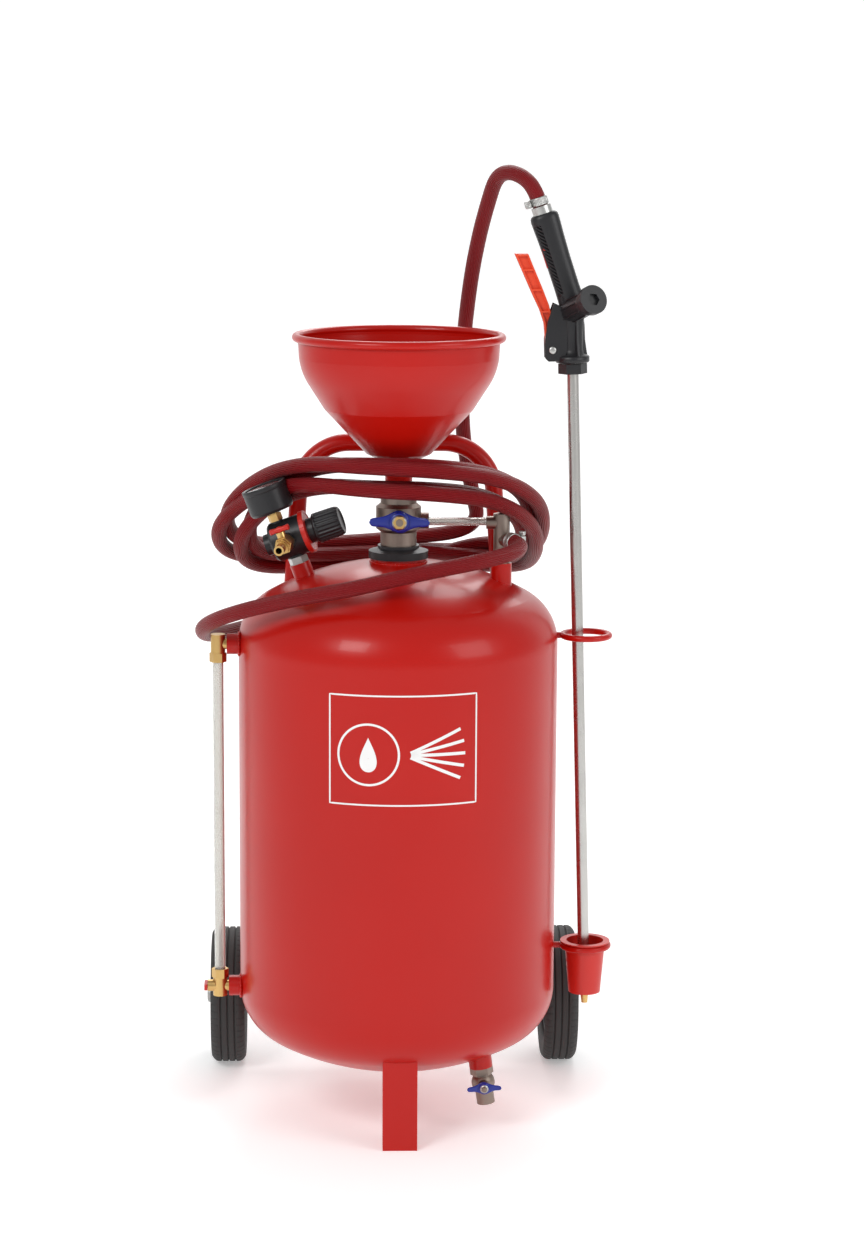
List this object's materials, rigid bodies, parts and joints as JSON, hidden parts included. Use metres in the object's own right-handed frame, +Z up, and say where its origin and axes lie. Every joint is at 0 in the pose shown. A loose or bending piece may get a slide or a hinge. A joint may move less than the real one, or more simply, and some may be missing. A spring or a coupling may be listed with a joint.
{
  "type": "wheeled pressure sprayer",
  "caption": "Wheeled upright pressure tank for foam or liquid, with filling funnel and ball valve, air regulator, level tube, drain, long hose and a trigger gun with lance.",
  "frame": {"origin": "on the floor, under the middle of the machine without its hose", "axes": "+Z up, +X to the lance side, -Y to the front with the foot, +Y to the wheels"},
  "size_m": [0.4687, 0.4294, 1.0651],
  "materials": {
    "tank_paint": "gloss",
    "tyre": "matt",
    "hub": "satin",
    "zinc": "satin",
    "black_plastic": "satin",
    "nickel": "satin",
    "blue_handle": "gloss",
    "brass": "satin",
    "seat": "satin",
    "clear": "clear",
    "lens": "clear",
    "dial": "matt",
    "red_plastic": "satin",
    "steel_tube": "satin",
    "hose": "satin"
  },
  "bodies": {
    "tank": {"tank_upper_shell": "tank_paint", "tank_lower_shell": "tank_paint", "filler_boss": "tank_paint", "thread_sockets": "tank_paint", "front_foot": "tank_paint", "handle_hoop": "tank_paint", "axle_brackets": "tank_paint", "lance_ring": "tank_paint", "cup_ring": "tank_paint", "funnel": "tank_paint", "lance_cup": "red_plastic", "regulator_ring": "red_plastic", "axle": "zinc", "axle_washers": "zinc", "regulator_nipple": "zinc", "trigger_pin": "zinc", "hose_clamp_outlet": "zinc", "hose_clamp_gun": "zinc", "hose_ferrule": "zinc", "filler_collar": "black_plastic", "regulator_body": "black_plastic", "gauge_case": "black_plastic", "gun_body": "black_plastic", "gun_cap": "black_plastic", "lance_nut": "black_plastic", "fill_valve_body": "nickel", "outlet_fitting": "nickel", "drain_valve_body": "nickel", "level_elbow": "brass", "level_cock": "brass", "level_nuts": "brass", "gauge_stem": "brass", "air_valve_body": "brass", "air_plug": "brass", "nozzle": "brass", "valve_seats": "seat", "level_tube": "clear", "air_tube": "clear", "gauge_lens": "lens", "gauge_dial": "dial", "lance": "steel_tube", "hose_run": "hose", "hose_coil": "hose", "hose_riser": "hose"},
    "wheel_left": {"tyre_left": "tyre", "wheel_hub_left": "hub"},
    "wheel_right": {"tyre_right": "tyre", "wheel_hub_right": "hub"},
    "fill_valve": {"fill_valve_ball": "nickel", "fill_valve_stem": "nickel", "fill_valve_handle": "blue_handle", "fill_valve_nut": "brass"},
    "air_lever": {"air_valve_lever": "red_plastic"},
    "drain_handle": {"drain_valve_handle": "blue_handle"},
    "cock_tap": {"level_cock_tap": "red_plastic"},
    "pressure_knob": {"regulator_knob": "black_plastic"},
    "needle": {"gauge_needle": "black_plastic"},
    "trigger_lever": {"trigger": "red_plastic"},
    "rod": {"valve_rod": "nickel"},
    "catch": {"trigger_lock": "red_plastic"}
  },
  "joints": [
    {"name": "wheel_left_spin", "type": "hinge", "parent": "tank", "child": "wheel_left", "pos_m": [-0.207, 0.13465, 0.08], "axis": [1, 0, 0], "continuous": true},
    {"name": "wheel_right_spin", "type": "hinge", "parent": "tank", "child": "wheel_right", "pos_m": [0.185, 0.13465, 0.08], "axis": [1, 0, 0], "continuous": true},
    {"name": "fill_valve_turn", "type": "hinge", "parent": "tank", "child": "fill_valve", "pos_m": [-0.011, -0.07585, 0.679], "axis": [0, -1, 0], "range_deg": [0, 90]},
    {"name": "air_valve_turn", "type": "hinge", "parent": "tank", "child": "air_lever", "pos_m": [-0.14152, -0.0706, 0.66687], "axis": [-0.3467, 0.0133, 0.9379], "range_deg": [0, 90]},
    {"name": "drain_valve_turn", "type": "hinge", "parent": "tank", "child": "drain_handle", "pos_m": [0.08329, -0.15015, 0.05597], "axis": [0, -1, 0], "range_deg": [0, 90]},
    {"name": "level_cock_turn", "type": "hinge", "parent": "tank", "child": "cock_tap", "pos_m": [-0.223, -0.05685, 0.148], "axis": [-1, 0, 0], "range_deg": [0, 90]},
    {"name": "regulator_knob_turn", "type": "hinge", "parent": "tank", "child": "pressure_knob", "pos_m": [-0.08926, -0.03906, 0.67082], "axis": [0.9264, -0.1516, 0.3446], "range_deg": [0, 1080]},
    {"name": "gauge_needle_turn", "type": "hinge", "parent": "tank", "child": "needle", "pos_m": [-0.15292, -0.03046, 0.69194], "axis": [0.3467, -0.0133, -0.9379], "range_deg": [0, 270], "stiffness_Nm_per_rad": 0.001},
    {"name": "trigger_squeeze", "type": "hinge", "parent": "tank", "child": "trigger_lever", "pos_m": [0.15705, -0.03685, 0.86492], "axis": [0, 1, 0], "range_deg": [0, 6], "stiffness_Nm_per_rad": 3},
    {"name": "valve_rod_slide", "type": "slide", "parent": "tank", "child": "rod", "axis": [0.9995, 0, 0.0316], "range_m": [0, 0.0042]},
    {"name": "trigger_lock_turn", "type": "hinge", "parent": "tank", "child": "catch", "pos_m": [0.14697, -0.03685, 0.97466], "axis": [0, 1, 0], "range_deg": [0, 9]}
  ],
  "couplings": [
    {"joint": "valve_rod_slide", "follows": "trigger_squeeze", "m_per_rad": 0.04}
  ]
}
